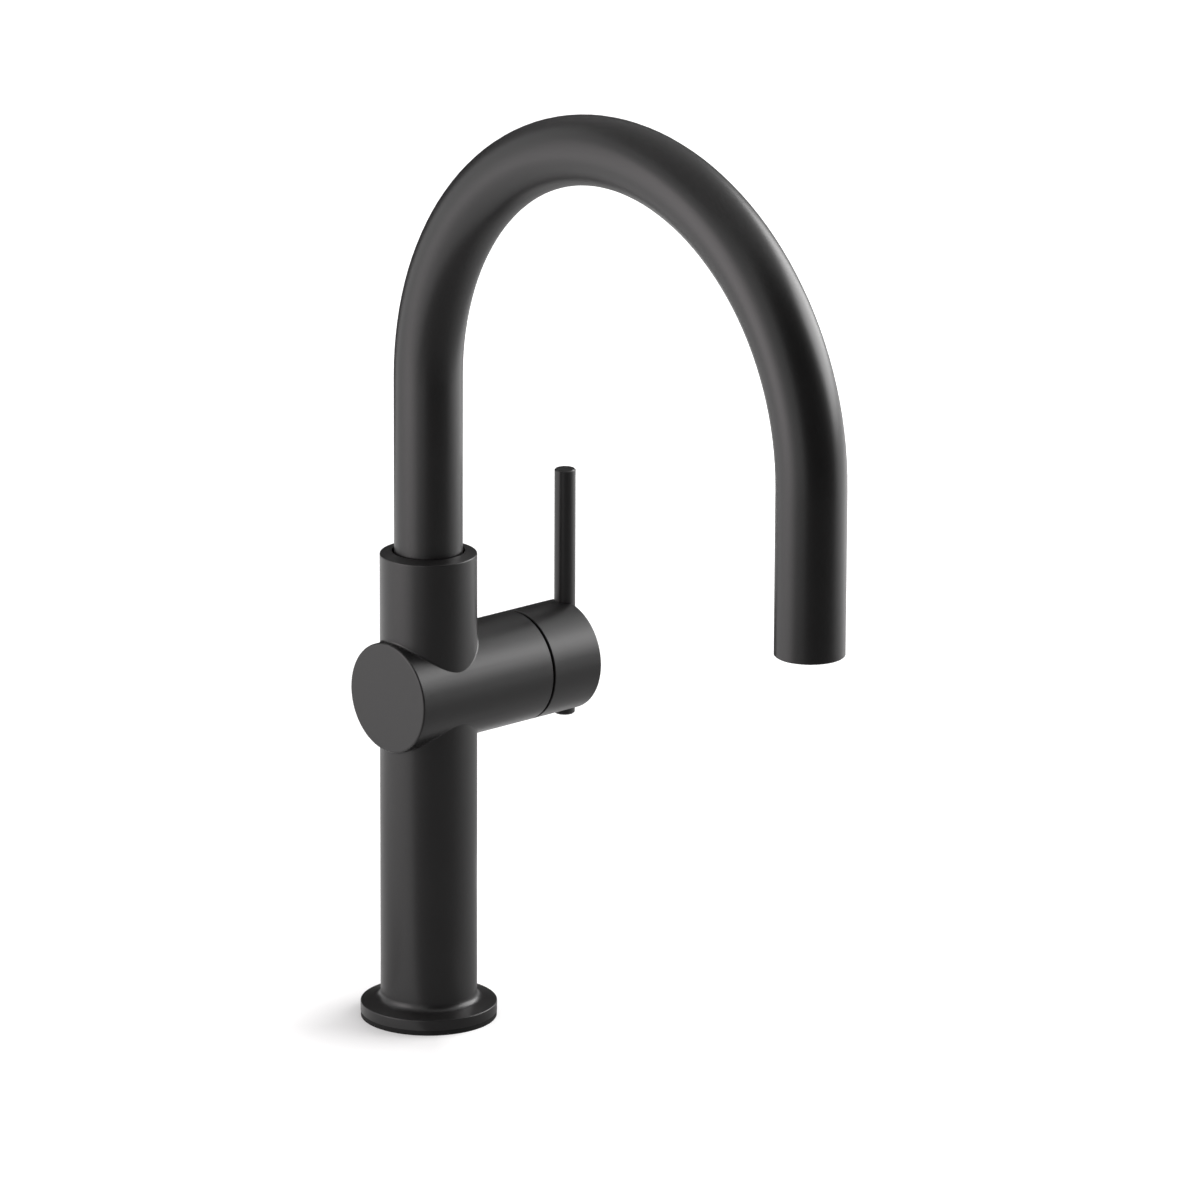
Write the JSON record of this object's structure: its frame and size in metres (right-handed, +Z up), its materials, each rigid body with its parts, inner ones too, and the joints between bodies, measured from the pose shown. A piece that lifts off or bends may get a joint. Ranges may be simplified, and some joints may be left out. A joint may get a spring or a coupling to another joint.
{
  "type": "kitchen faucet",
  "caption": "Deck-mounted kitchen faucet: a slim matte black column, a one-piece gooseneck swing spout with a recessed aerator, and a pin lever on a side barrel.",
  "frame": {"origin": "on the deck, at the column's axis, in the mouth of the shank thread", "axes": "+Z up along the column, the spout reaches towards -Y at rest, the lever barrel points to +X"},
  "size_m": [0.1024, 0.2555, 0.381],
  "materials": {
    "matte_black": "matte powder coat",
    "black_rubber": "moulded",
    "raw_brass": "turned",
    "white_acetal": "moulded",
    "white_ceramic": "lapped",
    "bare_steel": "turned",
    "grey_plastic": "moulded"
  },
  "bodies": {
    "body": {"main_body": "matte_black", "deck_gasket": "black_rubber", "cartridge_base": "white_acetal", "port_seals": "black_rubber", "disc_seals": "black_rubber", "cartridge_housing": "white_acetal", "fixed_disc": "white_ceramic", "retaining_nut": "raw_brass", "spout_thrust_washer": "white_acetal", "spout_retaining_screw": "bare_steel"},
    "handle": {"handle_barrel": "matte_black", "lever_rod": "matte_black", "lever_screw": "bare_steel", "handle_set_screw": "bare_steel", "handle_bearing_ring": "white_acetal", "limit_ring": "white_acetal", "spindle": "raw_brass", "spindle_o_ring": "black_rubber", "moving_disc": "white_ceramic"},
    "spout": {"spout_tube": "matte_black", "spout_foot": "raw_brass", "spout_o_rings": "black_rubber", "spout_glide_ring": "white_acetal", "outlet_bush": "raw_brass", "aerator_seal": "black_rubber", "aerator_housing": "grey_plastic", "aerator_jet_plate": "grey_plastic", "aerator_grid": "grey_plastic"}
  },
  "joints": [
    {"name": "spout_swivel", "type": "hinge", "parent": "body", "child": "spout", "pos_m": [0, 0, 0.1831], "axis": [0, 0, 1], "continuous": true},
    {"name": "handle_turn", "type": "hinge", "parent": "body", "child": "handle", "pos_m": [0.04705, 0, 0.1342], "axis": [1, 0, 0], "range_deg": [0, 100]}
  ]
}
